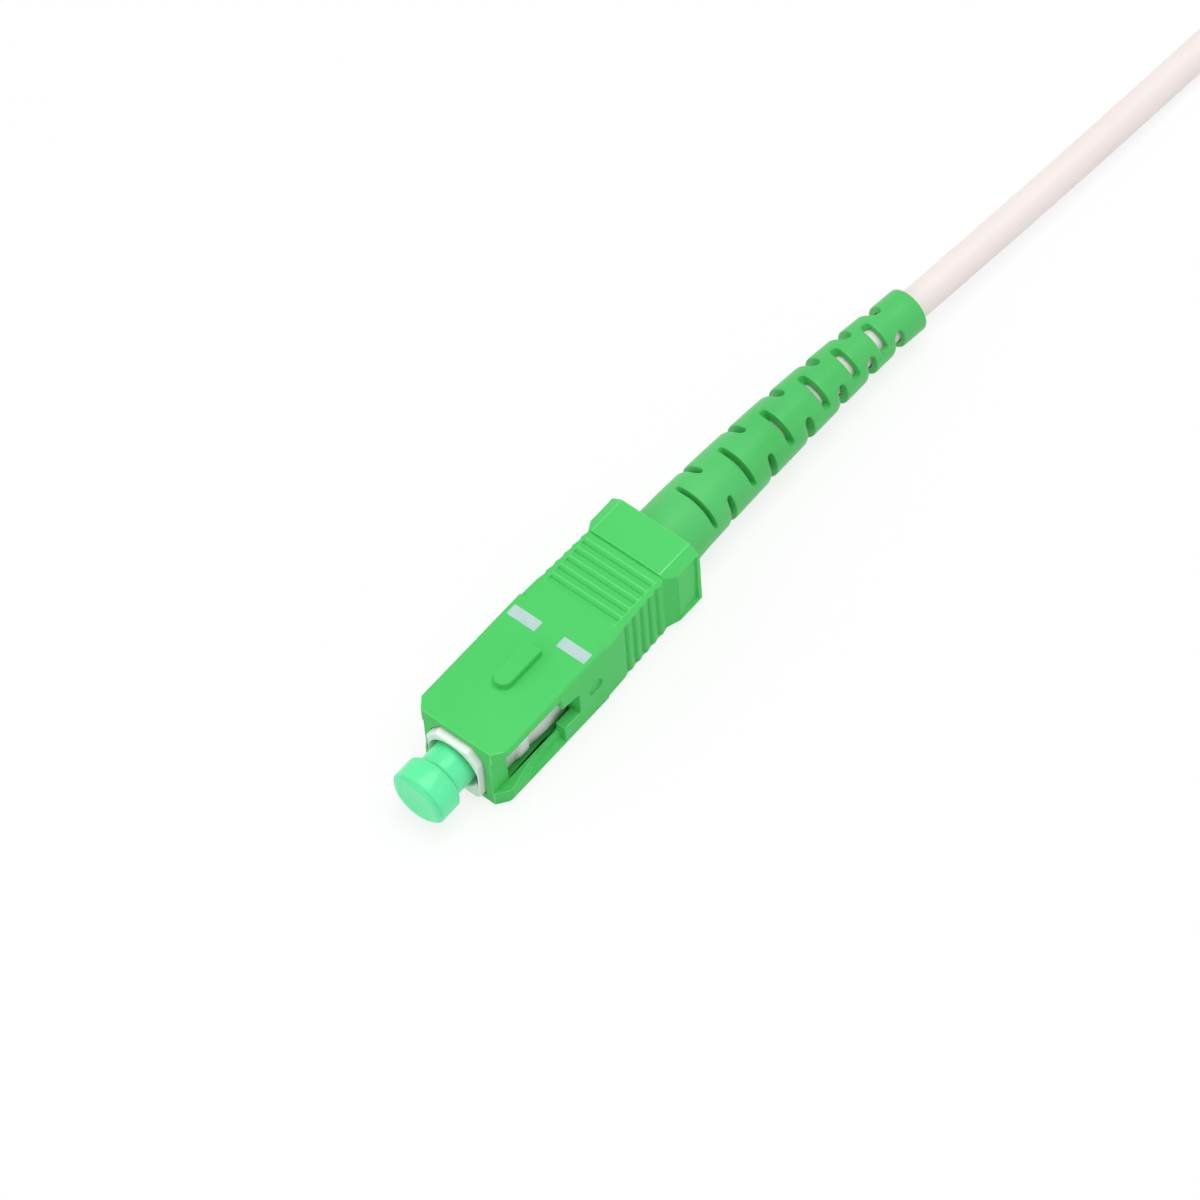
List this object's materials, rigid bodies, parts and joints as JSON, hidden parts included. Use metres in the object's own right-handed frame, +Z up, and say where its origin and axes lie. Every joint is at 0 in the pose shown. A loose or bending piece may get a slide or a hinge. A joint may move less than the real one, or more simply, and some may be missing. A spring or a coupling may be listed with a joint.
{
  "type": "fibre connector pigtail",
  "caption": "Push-pull fibre connector with an angled-polish ferrule, dust cap, slotted boot and a stored length of round cord.",
  "frame": {"origin": "middle of the flat underside of the coupling sleeve, on the surface that the connector lies on", "axes": "+Y from the mating face towards the cord, +Z up out of the side with the key, +X to the right seen from the mating face"},
  "size_m": [0.0273, 0.1575, 0.0128],
  "materials": {
    "green_housing": "moulded, satin",
    "white_frame": "moulded, satin",
    "zirconia": "ground and polished",
    "glass_core": "polished end",
    "nickel": "plated",
    "buffer_white": "extruded",
    "spring_steel": "drawn wire",
    "stop_brass": "plated",
    "tube_clear": "extruded",
    "aramid": "yarn",
    "crimp_metal": "crimped",
    "boot_green": "moulded, satin",
    "cord_white": "extruded, satin",
    "cap_clear": "moulded, translucent",
    "tie_strap": "ribbed strap"
  },
  "bodies": {
    "core": {"plug_frame": "white_frame", "ferrule_spring": "spring_steel", "spring_stop": "stop_brass", "guide_tube": "tube_clear", "aramid_yarn": "aramid", "crimp_ring": "crimp_metal", "boot": "boot_green", "boot_jacket": "cord_white", "boot_buffer": "buffer_white", "cord_run": "cord_white", "cord_hank": "cord_white", "hank_tie_right": "tie_strap", "hank_tie_left": "tie_strap"},
    "coupling_sleeve": {"outer_housing": "green_housing"},
    "ferrule_unit": {"ferrule": "zirconia", "glass_fibre": "glass_core", "ferrule_flange": "nickel", "tight_buffer": "buffer_white"},
    "cap": {"dust_cap": "cap_clear"}
  },
  "joints": [
    {"name": "sleeve_slide", "type": "slide", "parent": "core", "child": "coupling_sleeve", "axis": [0, 1, 0], "range_m": [0, 0.0025]},
    {"name": "ferrule_float", "type": "slide", "parent": "core", "child": "ferrule_unit", "axis": [0, 1, 0], "range_m": [0, 0.0009], "stiffness_N_per_m": 1500, "springref_m": -0.004, "deforming": ["ferrule_spring"]},
    {"name": "cap_pull", "type": "slide", "parent": "ferrule_unit", "child": "cap", "axis": [0, -1, 0], "range_m": [0, 0.012]}
  ]
}
